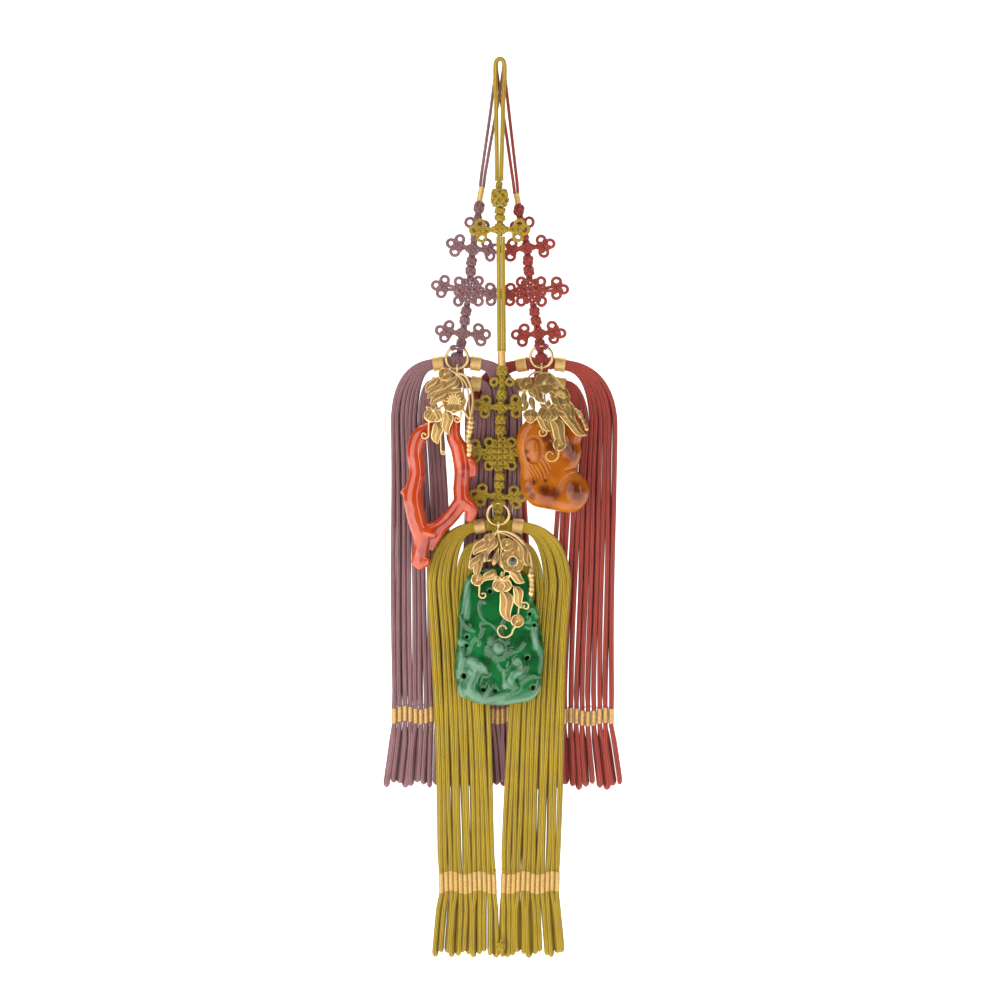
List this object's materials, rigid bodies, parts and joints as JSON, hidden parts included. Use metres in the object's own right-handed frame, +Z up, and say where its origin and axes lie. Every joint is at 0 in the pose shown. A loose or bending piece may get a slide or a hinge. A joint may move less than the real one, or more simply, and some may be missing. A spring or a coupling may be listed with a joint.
{
  "type": "norigae",
  "caption": "Hanging dress ornament with knotted silk cords, gold rings, cast gold caps, coral, amber and jade drops, and looped-cord tassels.",
  "frame": {"origin": "inside of the top of the hanging loops, where the ornament hangs", "axes": "+Z up, -Y towards the front, +X to the right seen from the front"},
  "size_m": [0.0996, 0.0272, 0.4002],
  "materials": {
    "olive_cord": "braided silk cord, soft sheen",
    "purple_cord": "braided silk cord, soft sheen",
    "red_cord": "braided silk cord, soft sheen",
    "gold_thread": "wound metallic gold thread",
    "cast_gold": "satin cast gold",
    "antique_gold": "darker satin cast gold",
    "coral": "polished coral",
    "amber": "polished cloudy amber",
    "jade": "polished translucent jade"
  },
  "bodies": {
    "root": {"hang_loop_olive": "olive_cord", "hang_loop_purple": "purple_cord", "hang_loop_red": "red_cord", "purple_top_wrap": "gold_thread", "red_top_wrap": "gold_thread", "olive_bud_knot": "olive_cord", "olive_crown_knot": "olive_cord", "olive_straight_cords": "olive_cord", "olive_mid_wrap": "gold_thread", "purple_button_knot": "purple_cord", "purple_neck_knot": "purple_cord", "purple_row_1": "purple_cord", "purple_barrel_1": "purple_cord", "purple_row_2": "purple_cord", "purple_barrel_2": "purple_cord", "purple_row_3": "purple_cord", "red_button_knot": "red_cord", "red_neck_knot": "red_cord", "red_row_1": "red_cord", "red_barrel_1": "red_cord", "red_row_2": "red_cord", "red_barrel_2": "red_cord", "red_row_3": "red_cord", "olive_barrel_1": "olive_cord", "olive_pair_knot": "olive_cord", "olive_barrel_2": "olive_cord", "olive_row_1": "olive_cord", "olive_barrel_3": "olive_cord", "olive_diamond_knot": "olive_cord", "olive_barrel_4": "olive_cord", "olive_row_2": "olive_cord", "purple_ring_tie": "purple_cord", "red_ring_tie": "red_cord", "olive_ring_tie": "olive_cord", "purple_tassel": "purple_cord", "red_tassel": "red_cord", "olive_tassel": "olive_cord", "purple_head_wraps": "gold_thread", "red_head_wraps": "gold_thread", "olive_head_wraps": "gold_thread", "purple_leg_wraps": "gold_thread", "red_leg_wraps": "gold_thread", "olive_leg_wraps": "gold_thread"},
    "purple_ring_link": {"purple_ring": "cast_gold"},
    "coral_pendant": {"coral_cap": "cast_gold", "coral_branch": "coral"},
    "red_ring_link": {"red_ring": "cast_gold"},
    "amber_pendant": {"amber_cap": "antique_gold", "amber": "amber"},
    "olive_ring_link": {"olive_ring": "cast_gold"},
    "jade_pendant": {"jade_cap": "cast_gold", "jade": "jade"}
  },
  "joints": [
    {"name": "coral_swing", "type": "hinge", "parent": "root", "child": "purple_ring_link", "pos_m": [-0.0191, -0.0028, -0.1322], "axis": [0, 1, 0], "range_deg": [0, 20]},
    {"name": "coral_tip", "type": "hinge", "parent": "purple_ring_link", "child": "coral_pendant", "pos_m": [-0.0191, -0.0028, -0.137], "axis": [-1, 0, 0], "range_deg": [0, 45]},
    {"name": "amber_swing", "type": "hinge", "parent": "root", "child": "red_ring_link", "pos_m": [0.0184, -0.0009, -0.1316], "axis": [0, -1, 0], "range_deg": [0, 20]},
    {"name": "amber_tip", "type": "hinge", "parent": "red_ring_link", "child": "amber_pendant", "pos_m": [0.0184, -0.0009, -0.1364], "axis": [-1, 0, 0], "range_deg": [0, 45]},
    {"name": "jade_swing", "type": "hinge", "parent": "root", "child": "olive_ring_link", "pos_m": [-0.0008, -0.0075, -0.2015], "axis": [0, 1, 0], "range_deg": [-12, 12]},
    {"name": "jade_tip", "type": "hinge", "parent": "olive_ring_link", "child": "jade_pendant", "pos_m": [-0.0008, -0.0075, -0.2063], "axis": [-1, 0, 0], "range_deg": [0, 45]}
  ]
}
